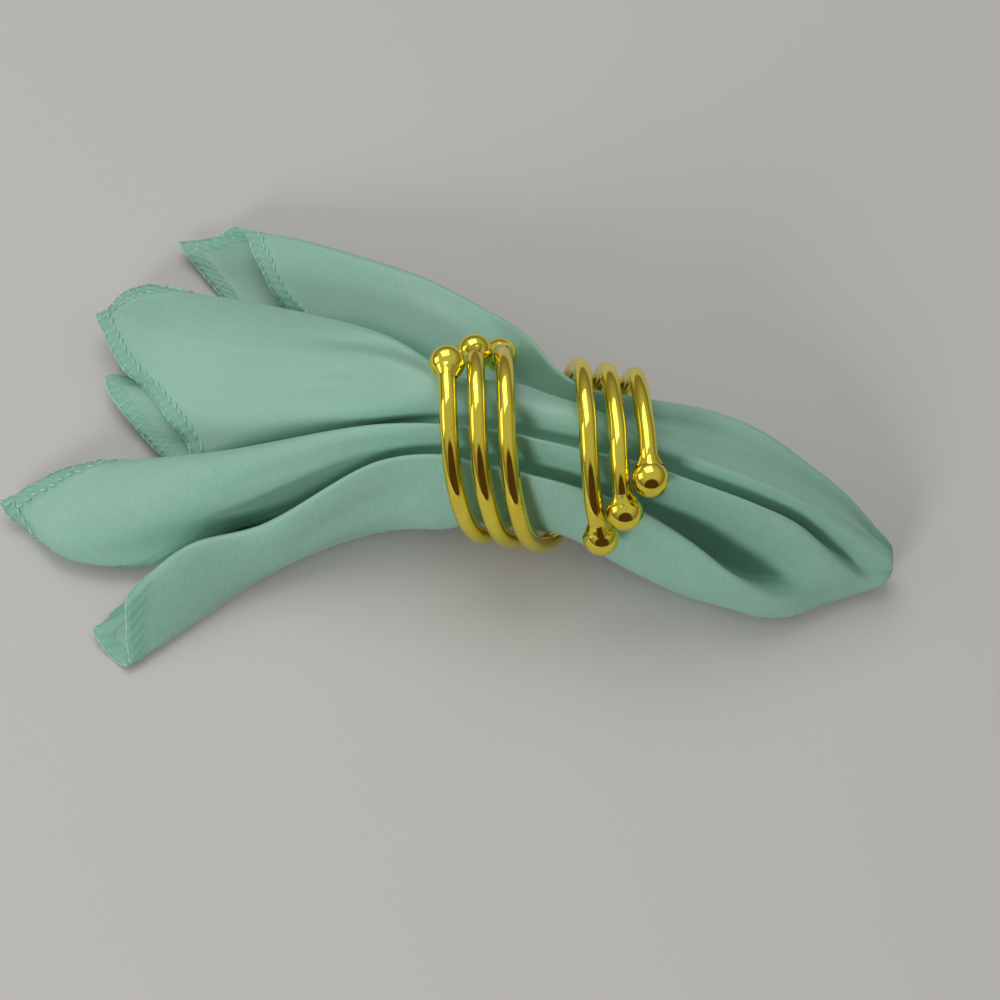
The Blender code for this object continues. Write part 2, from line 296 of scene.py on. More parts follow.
# x, then (y, z) of every fold in the order of FOLDS
SECTIONS = (
    (78, (-4.3, 3.6), (-3.0, 6.6), (-2.9, 10.8), (-4.4, 10.2), (-5.2, 11.6), (-6.2, 11.4), (-7.1, 7.2),
     (-8.3, 6.4), (-8.6, 5.7), (-8.9, 5.1), (-8.9, 4.5), (-8.1, 3.4), (-6.1, 3.7)),
    (74, (-3.0, 1.4), (-0.8, 6.5), (-0.6, 13.5), (-3.2, 12.4), (-4.4, 14.8), (-6.2, 14.4), (-7.6, 7.4),
     (-9.6, 6.2), (-10.2, 5.0), (-10.6, 4.0), (-10.7, 3.0), (-9.3, 1.2), (-6.0, 1.6)),
    (66, (3.0, 0.5), (6.0, 9.0), (4.1, 18.3), (0.8, 17.9), (-2.4, 19.8), (-5.2, 20.9), (-7.2, 11.5),
     (-10.2, 14.2), (-12.8, 8.6), (-14.6, 5.8), (-15.4, 3.4), (-12.6, 0.5), (-5.0, 3.2)),
    (56, (7.0, 0.5), (10.8, 10.5), (8.3, 22.4), (3.8, 22.0), (-1.0, 24.6), (-4.8, 26.5), (-6.4, 18.0),
     (-9.4, 24.6), (-14.2, 9.0), (-20.0, 10.6), (-21.0, 4.6), (-17.0, 0.5), (-4.0, 4.6)),
    (46, (10.5, 0.5), (14.2, 12.0), (12.3, 25.6), (6.4, 25.0), (0.2, 28.0), (-4.2, 30.4), (-6.0, 23.0),
     (-8.9, 29.4), (-13.6, 6.0), (-21.2, 17.2), (-22.2, 6.0), (-17.5, 0.5), (-2.0, 5.4)),
    (34, (12.5, 0.5), (16.0, 14.0), (13.9, 28.2), (7.6, 27.2), (1.2, 30.8), (-3.0, 33.1), (-5.4, 27.5),
     (-8.0, 32.6), (-11.2, 11.5), (-17.9, 24.0), (-21.2, 8.6), (-16.5, 0.5), (-1.0, 6.6)),
    (21, (11.5, 5.0), (14.5, 16.5), (12.6, 31.0), (7.2, 29.2), (2.4, 34.0), (-1.8, 35.6), (-4.6, 31.0),
     (-7.0, 35.4), (-10.4, 22.0), (-13.6, 27.4), (-18.0, 9.5), (-13.5, 3.0), (0.0, 9.0)),
    (6, (8.8, 7.8), (15.2, 19.0), (11.8, 33.0), (7.8, 28.0), (4.6, 36.8), (-0.6, 37.4), (-3.8, 32.8),
     (-6.8, 37.0), (-9.8, 26.5), (-13.4, 32.2), (-15.0, 13.6), (-8.4, 7.9), (0.0, 11.5)),
    (-2, (10.1, 8.1), (16.1, 19.6), (17.0, 31.4), (9.2, 25.0), (6.6, 36.2), (-0.2, 37.8), (-3.4, 32.8),
     (-6.2, 37.2), (-9.4, 27.5), (-13.0, 33.0), (-15.3, 15.0), (-8.9, 7.9), (0.0, 11.0)),
    (-8, (10.7, 9.7), (21.4, 20.2), (23.4, 30.5), (13.0, 23.0), (8.2, 35.8), (1.0, 38.0), (-3.0, 32.6),
     (-5.6, 37.2), (-9.0, 28.0), (-12.6, 33.2), (-15.5, 15.9), (-9.2, 8.3), (0.0, 10.5)),
    (-14, (13.2, 8.8), (25.5, 18.6), (28.6, 29.0), (13.8, 21.8), (8.8, 35.0), (1.8, 37.2), (-2.7, 32.0),
     (-5.4, 36.6), (-8.5, 27.5), (-12.0, 32.9), (-15.7, 15.2), (-9.6, 7.8), (0.0, 9.2)),
    (-22, (17.0, 7.5), (29.0, 17.0), (33.6, 27.0), (14.5, 20.5), (9.0, 34.2), (2.4, 36.2), (-2.4, 31.4),
     (-5.2, 35.8), (-8.0, 27.0), (-11.2, 32.6), (-17.3, 13.6), (-12.0, 4.8), (0.0, 8.0)),
)

# a line's name, its place among FOLDS, then past the ring, halfway out and at the hem: (x, y, z)
LOBE_LINES = (
    ("c_under", 0.0, (-40, 23, 4.5), (-66, 36, 1.6), (-92, 43, 1.2)),
    ("c_under_edge", 0.5, (-42, 32, 8.5), (-74, 46, 3.2), (-100, 50, 2.0)),
    ("c_corner", 1.0, (-42, 38, 13), (-78, 53, 6), (-108.5, 57.5, 3.2)),
    ("c_loop", 1.5, (-42, 43, 17.5), (-78, 57.5, 9.5), (-99.5, 59, 5.5)),
    ("c_ridge", 2.0, (-40, 44, 22), (-70, 54.5, 14.5), (-92, 61, 8.5)),
    ("c_flank", 2.4, (-38, 34, 22), (-62, 44, 14.5), (-85.5, 52.5, 9)),
    ("c_low_flank", 2.75, (-37, 26, 19), (-56, 34, 12), (-76.5, 41, 8)),
    ("cb_valley", 3.0, (-34, 19.5, 14), (-48, 25, 8.5), (-64, 31, 5)),
    ("b_back", 3.5, (-38, 17.5, 25), (-60, 25, 14.5), (-86, 31, 5)),
    ("b_ridge", 4.0, (-40, 18, 32.3), (-72, 29.5, 21), (-103, 37.5, 10.5)),
    ("b_top_hem", 4.2, (-40, 15.5, 33.5), (-76, 25, 22), (-113, 36.5, 9)),
    ("b_corner", 4.45, (-40, 12, 34.2), (-77, 18.5, 22), (-120.5, 29, 7.5)),
    ("b_panel", 4.8, (-40, 6.5, 34.2), (-73, 12, 21), (-109.5, 15.5, 8)),
    ("b_front", 5.15, (-39, 1.5, 33.4), (-68, 4, 19.5), (-97, 6, 7.8)),
    ("b_edge", 5.4, (-38, -2, 31), (-62, -3, 17.5), (-85, -6.5, 7)),
    ("b_turn", 5.55, (-38, -1.5, 28), (-60, -2, 13.5), (-92, -6, 3.6)),
    ("b_under_tip", 5.7, (-38, 2, 26), (-68, 5.5, 13), (-114, 14, 4)),
    ("b_under", 5.85, (-38, 2, 23), (-58, 6, 10), (-82, 8, 3.5)),
    ("ba_valley", 6.0, (-34, -3, 22), (-46, -4.5, 11), (-62, -8, 4)),
    ("a_back", 6.5, (-36, -4.6, 27), (-60, -8.5, 16), (-86, -12, 5.5)),
    ("a_ridge", 7.0, (-38, -5.2, 31.6), (-73, -11.8, 21), (-108, -15.4, 10.5)),
    ("a_corner", 7.3, (-38, -8, 31), (-76, -17.5, 20.5), (-127, -25.5, 4.5)),
    ("a_belly", 7.55, (-37, -9.6, 28.5), (-76, -26, 14), (-118, -29.5, 1.2)),
    ("a_turn", 7.75, (-36, -8.4, 24.5), (-70, -22, 7), (-96, -26, 0.8)),
    ("ad_valley", 8.0, (-34, -8.5, 20), (-47, -11.5, 9), (-64, -17.5, 4)),
    ("d_back", 8.5, (-36, -11.6, 25), (-58, -21.4, 8.5), (-77, -33, 4)),
    ("d_ridge", 9.0, (-36, -13.6, 29.5), (-62, -26.4, 14.5), (-86.5, -45, 10.5)),
    ("d_face", 9.5, (-37, -17.4, 19), (-61, -31.8, 9), (-86, -54, 6)),
    ("d_front", 10.0, (-38, -18.4, 6.5), (-59, -30, 2), (-84.5, -59.5, 1.6)),
    ("d_under", 10.5, (-36, -12, 0.7), (-60, -24, 0.5), (-90.5, -57, 1)),
    ("d_corner", 11.0, (-36, -5, 0.6), (-62, -18, 0.5), (-95.5, -52.5, 2.4)),
    ("d_under_edge", 11.5, (-36, 2, 0.6), (-58, -6, 0.5), (-84, -37, 0.5)),
    ("under", 12.0, (-36, 8, 2.0), (-48, 8, 0.5), (-62, 6, 0.5)),
    ("under_back", 12.5, (-38, 15, 2.5), (-60, 22, 0.5), (-80, 28, 0.5)),
)
CORNERS = ("c_corner", "b_corner", "a_corner", "d_corner")

# Where a line bends once more on its way to the hem, because the cloth turns under or bulges.
LAST_BENDS = {
    "a_belly": (-111, -35, 4.6),
    "a_turn": (-88, -35.5, 4.0),
    "d_ridge": (-77, -34.8, 14.8),
}
OUTER_SHARE = 0.6        # of the way from halfway out to the hem, on every other line
LINE_NAMES = [line[0] for line in LOBE_LINES]
PLACES = [line[1] for line in LOBE_LINES]
CORNER_LINES = [LINE_NAMES.index(name) for name in CORNERS]
print(len(SECTIONS), "cross-sections,", len(LOBE_LINES), "lines")


# %% smooth curves through points
def hermite(begin, end, leave, arrive, t):
    """Point at t (0 to 1) between begin and end, with the given end tangents."""
    t2, t3 = t * t, t * t * t
    return (begin * (2 * t3 - 3 * t2 + 1) + leave * (t3 - 2 * t2 + t)
            + end * (3 * t2 - 2 * t3) + arrive * (t3 - t2))


def tangent(before, here, after, span):
    """Tangent at here for a piece of the given span, spaced by the root of the distance."""
    near = max((here - before).length, TINY) ** 0.5
    far = max((after - here).length, TINY) ** 0.5
    slope = ((here - before) / near * far + (after - here) / far * near) / (near + far)
    return slope * span


def curve_point(points, index, t, closed, sharp=()):
    """Point at t on the piece from points[index] to the next one. At a sharp point the two
    pieces meet at an angle."""
    count = len(points)
    begin, end = points[index], points[(index + 1) % count]
    span = max((end - begin).length, TINY) ** 0.5
    leave = arrive = end - begin
    if (closed or index > 0) and index not in sharp:
        leave = tangent(points[index - 1], begin, end, span)
    if (closed or index + 2 < count) and (index + 1) % count not in sharp:
        arrive = tangent(begin, end, points[(index + 2) % count], span)
    return hermite(begin, end, leave, arrive, t)


def section_point(section, place):
    """Point of a cross-section at a place among FOLDS, such as 4.5 between two of them."""
    x, folds = section[0], section[1:]
    ring = [Vector((x, y, z)) for y, z in folds]
    index = int(place)
    return curve_point(ring, index, place - index, closed=True)


def fold_line(line):
    """A line's points, from the tip through every section to its hem."""
    points = [Vector(TIP)]
    points += [section_point(section, line[1]) for section in SECTIONS]
    points += [Vector(point) for point in line[2:]]
    outer = curve_point(points, len(points) - 2, OUTER_SHARE, closed=False)
    points.insert(-1, Vector(LAST_BENDS.get(line[0], outer)))
    return points


fold_lines = [fold_line(line) for line in LOBE_LINES]
STATIONS = len(fold_lines[0])
print("each line has", STATIONS, "points")

# %% [markdown]
# ## Pleats that the bundle hides
# A square of 300 mm has far more cloth than the outside of the bundle shows. In the hand the
# rest goes into narrow pleats inside: they rise from the underside into the hollow under the
# folds. They are made as a wave on the underside, as high as the hollow has room for.

# %% rows across the cloth and columns along it
ROW_PITCH = 1.9           # mm between two rows, on average
OUTER_SPANS = 2           # spans next to the hem, whose rows are laid again from it
OUTER_ROWS = 8            # rows in each of these
AROUND_STEPS = 6          # columns between two lines
PLEAT_STEPS = 26          # columns between two lines where the hidden pleats are
PLEAT_LINES = 11.0        # place of the first line that has them after it
PLEAT_COUNT = 11
PLEAT_START, PLEAT_END = 11.3, 12.97   # places among the folds
PLEAT_RISE = 6            # how steeply the pleats grow and shrink at the two ends
PLEAT_ROOM = 2.0          # mm kept free under the folds above
HEM_THICKNESS = 0.8       # mm, where the cloth is turned over
SINGLE_SHARE = 0.5        # of that thickness, where the cloth is single
LOWEST = HEM_THICKNESS / 2      # the sheet's middle is never nearer to the floor

column_places = []
for index, place in enumerate(PLACES):
    steps = PLEAT_STEPS if place >= PLEAT_LINES else AROUND_STEPS
    column_places += [(index, step / steps) for step in range(steps)]


def place_of(index, t):
    """Place among the folds of a column."""
    following = PLACES[index + 1] if index + 1 < len(PLACES) else float(len(FOLDS))
    return PLACES[index] + (following - PLACES[index]) * t


def roof_height(ring, y):
    """Height of the lowest cloth over the underside, at y."""
    names = ("d_front", "ad_valley", "ba_valley", "cb_valley", "c_corner")
    edge = [ring[LINE_NAMES.index(name)] for name in names]
    for near, far in zip(edge, edge[1:]):
        if near.y <= y <= far.y:
            return near.z + (far.z - near.z) * (y - near.y) / (far.y - near.y)
    return 0.0


def pleated(ring, place, point):
    """The point raised into its pleat, if it is on the underside."""
    share = (place - PLEAT_START) / (PLEAT_END - PLEAT_START)
    if not 0 < share < 1:
        return point
    room = max(roof_height(ring, point.y) - point.z - PLEAT_ROOM, 0.0)
    wave = (1 - math.cos(math.tau * PLEAT_COUNT * share)) / 2
    ends = min(1.0, PLEAT_RISE * share, PLEAT_RISE * (1 - share))
    return point + Vector((0, 0, room * wave * ends))


def ring_row(ring, sharp=()):
    """One row all round the cloth, through the lines' points."""
    row = []
    for index, t in column_places:
        point = curve_point(ring, index, t, True, sharp)
        point = pleated(ring, place_of(index, t), point)
        point.z = max(point.z, LOWEST)
        row.append(point)
    return row


def span_length(station):
    """Mean length of the lines between a station and the next."""
    return sum((line[station + 1] - line[station]).length for line in fold_lines) / len(fold_lines)


def span_rows(station):
    """Rows between a station and the next; the outer spans have equally many."""
    if station >= STATIONS - 1 - OUTER_SPANS:
        return OUTER_ROWS
    return max(2, round(span_length(station) / ROW_PITCH))


rows = []
for station in range(STATIONS - 1):
    steps = span_rows(station)
    for step in range(steps):
        t = (step + 1) / steps
        ring = [curve_point(line, station, t, closed=False) for line in fold_lines]
        last = station == STATIONS - 2 and step == steps - 1
        rows.append(ring_row(ring, CORNER_LINES if last else ()))
LAST_ROWS = OUTER_SPANS * OUTER_ROWS
COLUMNS = len(column_places)
print(len(rows), "rows of", COLUMNS, "points")

# %% [markdown]
# ## Rows that follow the hem
# The hem is a band of even width, so the last rows are moved along each column until they lie
# at fixed distances from the cloth's edge. The columns reach the edge at a slant, so the
# distance is measured to the edge itself and not along the column.

# %% rows at fixed distances from the edge
HEM_WIDTH = 3.3           # mm
HEM_ROWS = (5.2, 4.2, HEM_WIDTH, 2.5, 1.7, 0.9, 0.0)
EDGE_REACH = 14           # columns looked at on each side when the edge is near

edge = rows[-1]


def distance_to_edge(point, column):
    """Distance from a point near a column to the cloth's edge."""
    best = math.inf
    for step in range(-EDGE_REACH, EDGE_REACH):
        begin, end = edge[(column + step) % COLUMNS], edge[(column + step + 1) % COLUMNS]
        along = end - begin
        t = max(0.0, min(1.0, (point - begin).dot(along) / max(along.length_squared, 1e-9)))
        best = min(best, (begin + along * t - point).length)
    return best


def walk(path, distances, wanted):
    """Point of a column's path where its distance from the edge is the wanted one."""
    for index in range(len(path) - 1, 0, -1):
        near, far = distances[index], distances[index - 1]
        if near <= wanted <= far:
            return path[index].lerp(path[index - 1], (wanted - near) / max(far - near, TINY))
    return path[0]


def evened(path, count):
    """The same path through count points, evenly spaced."""
    lengths = [0.0]
    for near, far in zip(path, path[1:]):
        lengths.append(lengths[-1] + (far - near).length)
    points = []
    index = 0
    for step in range(count):
        target = lengths[-1] * step / (count - 1)
        while index < len(path) - 2 and lengths[index + 1] < target:
            index += 1
        share = (target - lengths[index]) / max(lengths[index + 1] - lengths[index], TINY)
        points.append(path[index].lerp(path[index + 1], share))
    return points


body_rows = rows[:-LAST_ROWS]
outer_rows = [[] for _ in range(LAST_ROWS + len(HEM_ROWS))]
for column in range(COLUMNS):
    path = [row[column] for row in rows[-LAST_ROWS - 1:]]
    distances = [distance_to_edge(point, column) for point in path[:-1]] + [0.0]
    hem = [walk(path, distances, wanted) for wanted in HEM_ROWS]
    kept = [point for point, far in zip(path, distances) if far > HEM_ROWS[0]]
    inner = evened((kept or path[:1]) + hem[:1], LAST_ROWS + 1)
    for index, point in enumerate(inner[1:] + hem[1:]):
        outer_rows[index].append(point)
rows = body_rows + outer_rows[:LAST_ROWS + len(HEM_ROWS) - 1]
HEM_START = len(rows) - len(HEM_ROWS)
print(len(rows), "rows, of which", len(HEM_ROWS), "follow the hem")

# %% [markdown]
# ## Where each point was on the flat square
# The weave runs straight across the flat napkin, so it has to be laid out there and carried on to
# the folded cloth. Each column is a straight line on the flat square, from its middle to a mark
# on the edge. The marks are spaced as far apart as they are on the folded edge.

# %% flat places
SIDE = 300.0
SQUARE = (Vector((SIDE / 2, SIDE / 2)), Vector((-SIDE / 2, SIDE / 2)),
          Vector((-SIDE / 2, -SIDE / 2)), Vector((SIDE / 2, -SIDE / 2)))

edge = rows[-1]
corner_columns = [column_places.index((index, 0.0)) for index in CORNER_LINES]
edge_marks = [None] * COLUMNS
for side in range(4):
    first, last = corner_columns[side], corner_columns[(side + 1) % 4]
    count = (last - first) % COLUMNS
    lengths = [0.0]
    for step in range(count):
        here, there = edge[(first + step) % COLUMNS], edge[(first + step + 1) % COLUMNS]
        lengths.append(lengths[-1] + (there - here).length)
    for step in range(count):
        share = lengths[step] / lengths[-1]
        edge_marks[(first + step) % COLUMNS] = SQUARE[side].lerp(SQUARE[(side + 1) % 4], share)
    print(CORNERS[side], "side, mm:", round(lengths[-1]))

flat_rows = [[] for _ in rows]
for column in range(COLUMNS):
    lengths = [(rows[0][column] - Vector(TIP)).length]
    for near, far in zip(rows, rows[1:]):
        lengths.append(lengths[-1] + (far[column] - near[column]).length)
    for index, length in enumerate(lengths):
        flat_rows[index].append(edge_marks[column] * (length / lengths[-1]))

# %% [markdown]
# ## Creases by hand
# Between the main folds the satin has soft troughs and ridges. Each is a line between two places
# on the cloth, given by a column's place among the folds and a station along it, with a depth
# and a width. A point near the line moves along the cloth's own direction outwards.

# %% normals of the rows
def row_normals(rows):
    """Outward direction at every point of the rows."""
    normals = []
    for index, row in enumerate(rows):
        before, after = rows[max(index - 1, 0)], rows[min(index + 1, len(rows) - 1)]
        line = []
        for column in range(COLUMNS):
            around = row[(column + 1) % COLUMNS] - row[column - 1]
            along = after[column] - before[column]
            line.append(around.cross(along).normalized())
        normals.append(line)
    return normals


normals = row_normals(rows)
top_column = column_places.index((LINE_NAMES.index("b_panel"), 0.0))
outward = 1 if normals[len(rows) // 2][top_column].z > 0 else -1
print("normals point", "out" if outward > 0 else "in")


# %% creases
def row_at(station):
    """Row number at a station along the lines, such as 12.5."""
    counts = [span_rows(index) for index in range(STATIONS - 1)]
    whole = min(int(station), STATIONS - 2)
    row = sum(counts[:whole]) + counts[whole] * (station - whole) - 1
    return max(0, min(round(row), HEM_START))


def column_at(place):
    """The column nearest a place among the folds."""
    return min(range(COLUMNS), key=lambda column: abs(place_of(*column_places[column]) - place))


# name, (place, station) of both ends, move outwards and half-width, mm
CREASES = (
    ("b_neck_back", (4.15, 11.6), (4.45, 13.7), -0.9, 3.0),
    ("b_neck_middle", (4.85, 12.0), (4.75, 13.9), -0.8, 3.0),
    ("b_soft_ridge", (4.6, 12.2), (4.6, 14.4), 0.9, 4.0),
    ("b_front_trough", (5.1, 12.4), (5.15, 13.8), -0.7, 2.4),
    ("a_long_trough", (7.42, 12.3), (7.45, 13.9), -0.8, 2.6),
    ("a_low_trough", (7.62, 13.0), (7.6, 14.6), -0.9, 3.0),
    ("d_face_trough", (9.45, 12.0), (9.5, 13.8), -0.8, 2.6),
    ("d_low_ridge", (9.75, 12.6), (9.8, 14.4), 0.7, 2.2),
    ("c_neck", (2.2, 11.6), (2.25, 13.6), -0.7, 3.0),
    ("tail_back", (1.5, 3.5), (1.6, 6.0), -0.9, 3.0),
    ("tail_front", (9.5, 4.2), (9.4, 6.5), -0.8, 3.0),
    ("tail_front_low", (10.2, 3.2), (9.9, 5.2), 0.7, 2.2),
)

CREASE_COLUMNS = 12       # columns looked at on each side of a crease
CREASE_ROWS = 6           # rows that it fades out over, past each of its ends
CREASE_LEAST = 0.02       # share of its length at which the fading starts and stops
CREASE_FADE = 0.7         # below 1 it stays deep for most of its length
CREASE_SPREAD = 2.5       # widths from its middle at which it has died out


def add_crease(moved, begin, end, depth, width):
    """Add what one crease moves every point outwards by, in mm."""
    first, last = row_at(begin[1]), row_at(end[1])
    reach = CREASE_COLUMNS + abs(column_at(begin[0]) - column_at(end[0]))
    for row in range(max(0, first - CREASE_ROWS), min(len(rows), last + CREASE_ROWS + 1)):
        share = max(0.0, min(1.0, (row - first) / max(last - first, 1)))
        column = column_at(begin[0] + (end[0] - begin[0]) * share)
        middle = rows[min(max(row, first), last)][column]
        inner_share = max(CREASE_LEAST, min(1 - CREASE_LEAST, share))
        fade = math.sin(math.pi * inner_share) ** CREASE_FADE
        for step in range(-reach, reach + 1):
            spot = (column + step) % COLUMNS
            gap = (rows[row][spot] - middle).length / width
            if gap < CREASE_SPREAD:
                moved[row][spot] += depth * fade * math.exp(-gap * gap)


moved = [[0.0] * COLUMNS for _ in rows]
for _, begin, end, depth, width in CREASES:
    add_crease(moved, begin, end, depth, width)
for row in range(len(rows)):
    for column in range(COLUMNS):
        rows[row][column] = rows[row][column] + normals[row][column] * (outward * moved[row][column])
print(len(CREASES), "creases, deepest", round(min(min(line) for line in moved), 2), "mm")

# %% [markdown]
# ## An uneven edge
# Overlocked satin is never straight along its edge: the thread draws it in, and it stands up and
# down in small waves. The waves die out a centimetre into the cloth.

# %% waves along the edge
EDGE_WAVES = ((17.0, 0.40, 0.3), (9.5, 0.26, 2.1), (26.0, 0.45, 4.0))   # length, height, phase
WAVE_REACH = 11.0         # mm into the cloth
WAVE_ROWS = len(HEM_ROWS) + 7   # rows that they can reach

normals = row_normals(rows)
run = [0.0]
for column in range(1, COLUMNS):
    run.append(run[-1] + (rows[-1][column] - rows[-1][column - 1]).length)
for column in range(COLUMNS):
    lift = sum(height * math.sin(math.tau * run[column] / length + phase)
               for length, height, phase in EDGE_WAVES)
    in_pleat = place_of(*column_places[column]) > PLEAT_START
    length = 0.0
    for row in range(len(rows) - 1, len(rows) - 1 - WAVE_ROWS, -1):
        share = max(0.0, 1 - length / WAVE_REACH)
        if not in_pleat:
            rows[row][column] = rows[row][column] + normals[row][column] * (lift * share * share)
        rows[row][column].z = max(rows[row][column].z, LOWEST)
        length += (rows[row][column] - rows[row - 1][column]).length
print("edge, mm:", round(run[-1]))

# %% [markdown]
# ## The sheet
# A grid has the rows and columns already. Each of its points is moved to its place on the folded
# cloth, the two long sides meet and are merged, and the first row closes on the tip. Solidify
# then gives the thickness, more of it in the doubled hem.


# %% the fine sheet
FAR_FROM_HEM = 8.0        # mm, stored where the hem's distance no longer matters


def sheet_mesh():
    """The cloth's surface as a mesh, which points are in the hem, and the surface to measure on."""
    model = bmesh.new()
    height = len(rows)
    bmesh.ops.create_grid(model, x_segments=COLUMNS, y_segments=height, size=1.0)
    flat = model.verts.layers.float_vector.new("flat")
    hem = model.verts.layers.float.new("hem")
    along = model.verts.layers.float.new("run")
    for vert in model.verts:
        column = round((vert.co.x + 1) / 2 * COLUMNS) % COLUMNS
        row = round((vert.co.y + 1) / 2 * height) - 1
        if row < 0:
            vert.co = placed(TIP)
            vert[hem] = FAR_FROM_HEM
            continue
        vert.co = placed(rows[row][column])
        vert[flat] = (*flat_rows[row][column], 0.0)
        vert[hem] = HEM_ROWS[row - HEM_START] if row >= HEM_START else FAR_FROM_HEM
        vert[along] = run[column]
    bmesh.ops.remove_doubles(model, verts=model.verts, dist=1e-6)
    bmesh.ops.recalc_face_normals(model, faces=model.faces)
    uv = model.loops.layers.uv.new("flat_uv")
    for face in model.faces:
        for loop in face.loops:
            loop[uv].uv = loop.vert[flat].xy / SIDE + Vector((0.5, 0.5))
    band = [vert[hem] <= HEM_WIDTH for vert in model.verts]
    surface = BVHTree.FromBMesh(model)
    mesh = bpy.data.meshes.new("napkin_cloth")
    model.to_mesh(mesh)
    area = sum(face.calc_area() for face in model.faces)
    model.free()
    return mesh, band, surface, area


mesh, band, surface, area = sheet_mesh()
mesh.shade_smooth()
cloth = add_object("napkin_cloth", mesh)
group = cloth.vertex_groups.new(name="doubled")
for index, doubled in enumerate(band):
    group.add([index], 1.0 if doubled else SINGLE_SHARE, "REPLACE")
thickness = cloth.modifiers.new("thickness", "SOLIDIFY")
thickness.thickness = HEM_THICKNESS * MM
thickness.offset = 0.0
thickness.vertex_group = "doubled"
print("cloth:", len(mesh.polygons), "faces,", round(area * 1e6), "mm2,",
      round(area * 1e6 / SIDE ** 2, 3), "of the flat square")

# %% [markdown]
# ## The overlock stitches
# An overlock machine wraps thread round the cut edge. One thread makes short dashes along the
# inner line of the hem, crosses the band, turns round the edge and comes back underneath. A
# second one lies on the very edge and swells where the first pulls it in. Both are tubes along
# points that a loop works out, one stitch after another, on the finished cloth.

# %% places on the hem
STITCH_PITCH = 2.45       # mm
THREAD_RADIUS = 0.25
EDGE_THREAD = 0.12        # how far the thread on the edge stands out
UNEVEN_STITCH = 0.10      # how far a stitch strays from its place
JUST_INSIDE = 0.8         # mm from the edge, where the cloth's direction is read
INNER_HEM_ROW = -4        # row from which the direction inwards is read

edge = rows[-1]
top_spot = placed(rows[len(rows) // 2][top_column])
facing_out = 1 if surface.find_nearest(top_spot)[1].z > 0 else -1
edge_run = run + [run[-1] + (edge[0] - edge[-1]).length]


def column_along(distance):
    """The last column before a distance along the edge, and what is left of the distance."""
    distance = distance % edge_run[-1]
    column = 0
    while edge_run[column + 1] < distance:
        column += 1
    return column, distance - edge_run[column]


def hem_frame(distance):
    """Point on the edge after a distance along it, with the directions inwards and out."""
    column, rest = column_along(distance)
    share = rest / max(edge_run[column + 1] - edge_run[column], TINY)
    following = (column + 1) % COLUMNS
    point = edge[column].lerp(edge[following], share)
    inside = rows[INNER_HEM_ROW][column].lerp(rows[INNER_HEM_ROW][following], share) - point
    along = (edge[following] - edge[column]).normalized()
    inwards = (inside - along * inside.dot(along)).normalized()
    normal = surface.find_nearest(placed(point + inwards * JUST_INSIDE))[1] * facing_out
    return point, inwards, normal


def on_cloth(distance, inside, height):
    """A point at a distance along the hem, so far inside the edge and so high above the cloth."""
    point, inwards, normal = hem_frame(distance)
    spot = point + inwards * inside
    if inside > 0:
        found = surface.find_nearest(placed(spot))
        spot = (found[0] - SHIFT) / MM
        normal = found[1] * facing_out
    spot = spot + normal * height
    spot.z = max(spot.z, THREAD_RADIUS)
    return placed(spot)


# one stitch: share of the pitch along the hem, mm inside the edge, height above the cloth's
# middle and radius of the thread; it is pulled thin and deep where it crosses the band
STITCH = ((0.00, 3.45, 0.24, 0.20), (0.08, 3.42, 0.54, 0.28), (0.32, 3.25, 0.60, 0.30),
          (0.56, 3.02, 0.50, 0.26), (0.64, 2.70, 0.20, 0.16), (0.80, 1.50, 0.27, 0.14),
          (0.95, 0.40, 0.40, 0.20), (1.00, -0.10, 0.28, 0.26), (1.02, -0.25, 0.00, 0.26),
          (1.02, -0.05, -0.32, 0.24), (1.02, 1.30, -0.29, 0.16), (1.02, 2.70, -0.29, 0.16),
          (1.00, 3.40, -0.24, 0.18))
# the thread on the edge: share of the pitch, its radius
EDGE_SWELLS = ((0.0, 0.40), (0.18, 0.34), (0.38, 0.24), (0.62, 0.22), (0.82, 0.32))
print("hem to stitch, mm:", round(edge_run[-1]), "with", len(STITCH), "points in a stitch")


# %% a tube's mesh
def tube_curve(roundness):
    """An empty curve whose points carry the tube's radius in mm."""
    curve = bpy.data.curves.new("tube", "CURVE")
    curve.dimensions = "3D"
    curve.bevel_depth = MM
    curve.bevel_resolution = roundness
    return curve


def add_tube(curve, points, radii, closed):
    """One tube through the points, which ends where it begins if it is closed."""
    spline = curve.splines.new("POLY")
    spline.points.add(len(points) - 1)
    for target, point, radius in zip(spline.points, points, radii):
        target.co = (*point, 1.0)
        target.radius = radius
    spline.use_cyclic_u = closed


def meshed(curve, name):
    """A curve's tube as a mesh of its own, with the caps' points merged."""
    tube = add_object("tube", curve)
    finished = bpy.context.evaluated_depsgraph_get()
    mesh = bpy.data.meshes.new_from_object(tube.evaluated_get(finished))
    bpy.data.objects.remove(tube, do_unlink=True)
    model = bmesh.new()
    model.from_mesh(mesh)
    bmesh.ops.remove_doubles(model, verts=model.verts, dist=1e-7)
    model.to_mesh(mesh)
    model.free()
    mesh.name = name
    return mesh


# %% stitches
CURLED = (8.6, 11.3)      # places among the folds where the front lobe curls up tight
CURLED_SHARE = 0.5        # how much of the thread's thickness shows there
EDGE_SHARE = 0.4          # how much of the thickness on the very edge always shows
stitch_count = round(edge_run[-1] / STITCH_PITCH)
pitch = edge_run[-1] / stitch_count


def thread_share(distance):
    """How much of its thickness the thread shows."""
    column, _ = column_along(distance)
    curled = CURLED[0] < place_of(*column_places[column]) < CURLED[1]
    return CURLED_SHARE if curled else 1.0


